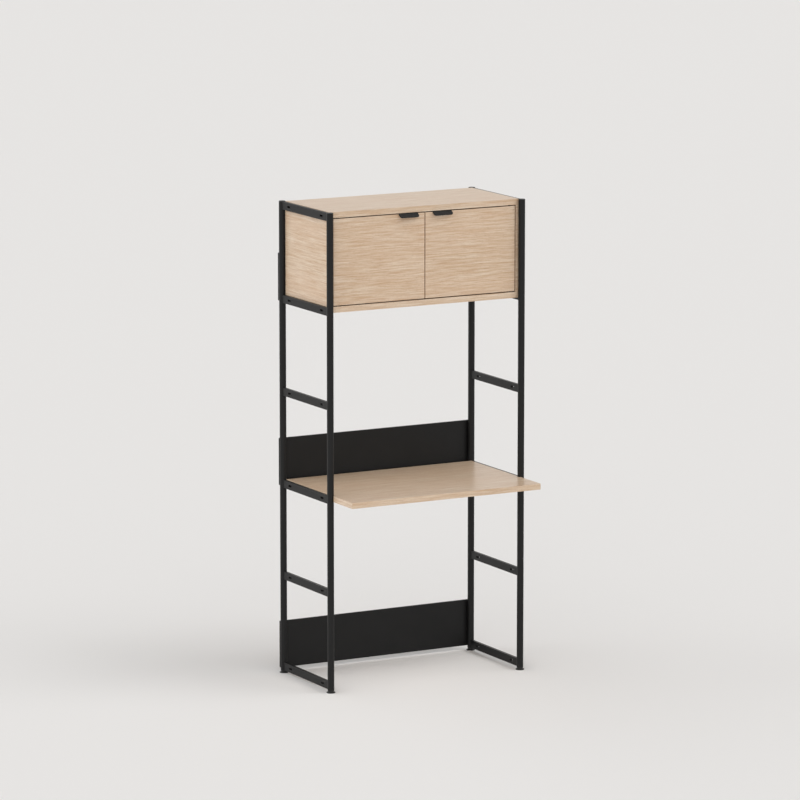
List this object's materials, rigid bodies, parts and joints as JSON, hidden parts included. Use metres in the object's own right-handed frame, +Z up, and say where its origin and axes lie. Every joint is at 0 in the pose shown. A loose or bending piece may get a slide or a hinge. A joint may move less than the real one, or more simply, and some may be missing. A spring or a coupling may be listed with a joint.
{
  "type": "shelving unit with desk",
  "caption": "Tall open unit of slotted ladder frames carrying a desk top and a two-door cabinet between round steel uprights, with folded back panels and levelling feet.",
  "frame": {"origin": "on the floor, under the centre of the unit's bounding box", "axes": "+Z up, -Y towards the user at the desk, +X to the user's right"},
  "size_m": [0.839, 0.562, 1.7925],
  "materials": {
    "powder_coated_steel": "fine matt black powder coat",
    "oak_veneer_board": "light oak veneer, matt lacquer",
    "black_plastic": "moulded black polyamide",
    "zinc_plated_steel": "bright zinc plate",
    "acetal": "turned black acetal",
    "beech": "fluted beech dowel",
    "ferrite_magnet": "pressed ferrite"
  },
  "bodies": {
    "frame": {"left_front_upright": "powder_coated_steel", "left_rear_upright": "powder_coated_steel", "left_rung_1": "powder_coated_steel", "left_rung_2": "powder_coated_steel", "left_rung_3": "powder_coated_steel", "left_rung_4": "powder_coated_steel", "left_rung_5": "powder_coated_steel", "left_rung_6": "powder_coated_steel", "right_front_upright": "powder_coated_steel", "right_rear_upright": "powder_coated_steel", "right_rung_1": "powder_coated_steel", "right_rung_2": "powder_coated_steel", "right_rung_3": "powder_coated_steel", "right_rung_4": "powder_coated_steel", "right_rung_5": "powder_coated_steel", "right_rung_6": "powder_coated_steel", "left_front_cap": "black_plastic", "left_rear_cap": "black_plastic", "right_front_cap": "black_plastic", "right_rear_cap": "black_plastic", "foot_inserts": "black_plastic", "lower_back_panel": "powder_coated_steel", "desk_back_panel": "powder_coated_steel", "cabinet_back_panel": "powder_coated_steel", "rivet_nuts": "zinc_plated_steel", "back_panel_screws": "powder_coated_steel", "desk_top": "oak_veneer_board", "cabinet_bottom": "oak_veneer_board", "cabinet_top": "oak_veneer_board", "cabinet_left_side": "oak_veneer_board", "cabinet_right_side": "oak_veneer_board", "cabinet_back_board": "oak_veneer_board", "cabinet_dowels": "beech", "panel_inserts": "zinc_plated_steel", "panel_set_screws": "powder_coated_steel", "pivot_bushes": "acetal", "catch_housing": "black_plastic", "catch_magnets": "ferrite_magnet", "catch_screws": "zinc_plated_steel"},
    "left_door": {"left_door": "oak_veneer_board", "left_pull": "powder_coated_steel", "left_pull_screws": "zinc_plated_steel", "left_door_pins": "zinc_plated_steel", "left_striker": "zinc_plated_steel"},
    "right_door": {"right_door": "oak_veneer_board", "right_pull": "powder_coated_steel", "right_pull_screws": "zinc_plated_steel", "right_door_pins": "zinc_plated_steel", "right_striker": "zinc_plated_steel"},
    "left_front_foot": {"left_front_foot_pad": "black_plastic", "left_front_foot_stud": "zinc_plated_steel"},
    "left_rear_foot": {"left_rear_foot_pad": "black_plastic", "left_rear_foot_stud": "zinc_plated_steel"},
    "right_front_foot": {"right_front_foot_pad": "black_plastic", "right_front_foot_stud": "zinc_plated_steel"},
    "right_rear_foot": {"right_rear_foot_pad": "black_plastic", "right_rear_foot_stud": "zinc_plated_steel"}
  },
  "joints": [
    {"name": "left_door_hinge", "type": "hinge", "parent": "frame", "child": "left_door", "pos_m": [-0.36075, -0.09755, 1.6065], "axis": [0, 0, -1], "range_deg": [0, 110]},
    {"name": "right_door_hinge", "type": "hinge", "parent": "frame", "child": "right_door", "pos_m": [0.36075, -0.09755, 1.6065], "axis": [0, 0, 1], "range_deg": [0, 110]},
    {"name": "left_front_foot_screw", "type": "slide", "parent": "frame", "child": "left_front_foot", "axis": [0, 0, -1], "range_m": [0, 0.01]},
    {"name": "left_rear_foot_screw", "type": "slide", "parent": "frame", "child": "left_rear_foot", "axis": [0, 0, -1], "range_m": [0, 0.01]},
    {"name": "right_front_foot_screw", "type": "slide", "parent": "frame", "child": "right_front_foot", "axis": [0, 0, -1], "range_m": [0, 0.01]},
    {"name": "right_rear_foot_screw", "type": "slide", "parent": "frame", "child": "right_rear_foot", "axis": [0, 0, -1], "range_m": [0, 0.01]}
  ]
}
